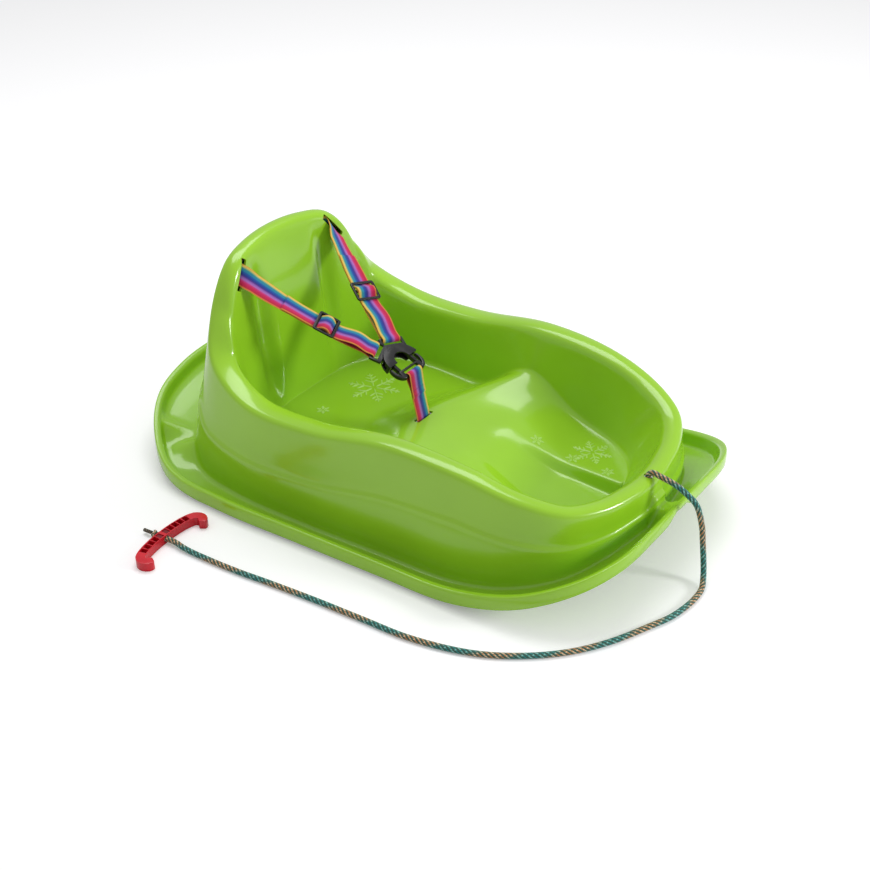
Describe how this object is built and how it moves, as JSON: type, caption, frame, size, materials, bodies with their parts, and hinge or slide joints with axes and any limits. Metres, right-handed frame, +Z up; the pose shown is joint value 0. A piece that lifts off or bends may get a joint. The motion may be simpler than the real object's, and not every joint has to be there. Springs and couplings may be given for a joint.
{
  "type": "baby pull sled",
  "caption": "Moulded tub sled with wrap-round backrest, three-point webbing harness with buckle and sliders, and a pull rope with grip handle.",
  "frame": {"origin": "middle of the hull's footprint box, on the plane that the runners stand on", "axes": "+X forward to the rope hole, +Y to the sled's left, +Z up"},
  "size_m": [0.7748, 0.6158, 0.2745],
  "materials": {
    "hull_plastic": "glossy lime green injection-moulded polyethylene",
    "webbing": "woven rainbow-striped polyester webbing",
    "black_plastic": "black acetal, satin",
    "rope": "braided teal and tan polypropylene rope",
    "handle_plastic": "red moulded plastic"
  },
  "bodies": {
    "sled": {"hull_shell": "hull_plastic", "shoulder_webbing": "webbing", "crotch_webbing": "webbing", "crotch_anchor_bar": "black_plastic", "buckle_housing": "black_plastic", "pull_rope": "rope", "rope_knot_hull": "rope", "rope_knot_handle": "rope", "rope_tail": "rope", "pull_handle": "handle_plastic"},
    "left_slider": {"slider_left": "black_plastic"},
    "right_slider": {"slider_right": "black_plastic"},
    "plug": {"buckle_plug": "black_plastic"},
    "left_arm": {"plug_arm_left": "black_plastic"},
    "right_arm": {"plug_arm_right": "black_plastic"}
  },
  "joints": [
    {"name": "left_slider_adjust", "type": "slide", "parent": "sled", "child": "left_slider", "axis": [0.7951, -0.3832, -0.4701], "range_m": [-0.03, 0.03], "deforming": ["shoulder_webbing"]},
    {"name": "right_slider_adjust", "type": "slide", "parent": "sled", "child": "right_slider", "axis": [0.8019, 0.3865, -0.4556], "range_m": [-0.03, 0.03], "deforming": ["shoulder_webbing"]},
    {"name": "plug_release", "type": "slide", "parent": "sled", "child": "plug", "axis": [0.9063, 0, -0.4226], "range_m": [0, 0.028], "deforming": ["crotch_webbing", "plug_arm_left", "plug_arm_right"]},
    {"name": "left_arm_squeeze", "type": "hinge", "parent": "plug", "child": "left_arm", "pos_m": [-0.02973, 0.0148, 0.13473], "axis": [0.4226, 0, 0.9063], "range_deg": [0, 8.5], "stiffness_Nm_per_rad": 0.05},
    {"name": "right_arm_squeeze", "type": "hinge", "parent": "plug", "child": "right_arm", "pos_m": [-0.02973, -0.0148, 0.13473], "axis": [-0.4226, 0, -0.9063], "range_deg": [0, 8.5], "stiffness_Nm_per_rad": 0.05}
  ]
}
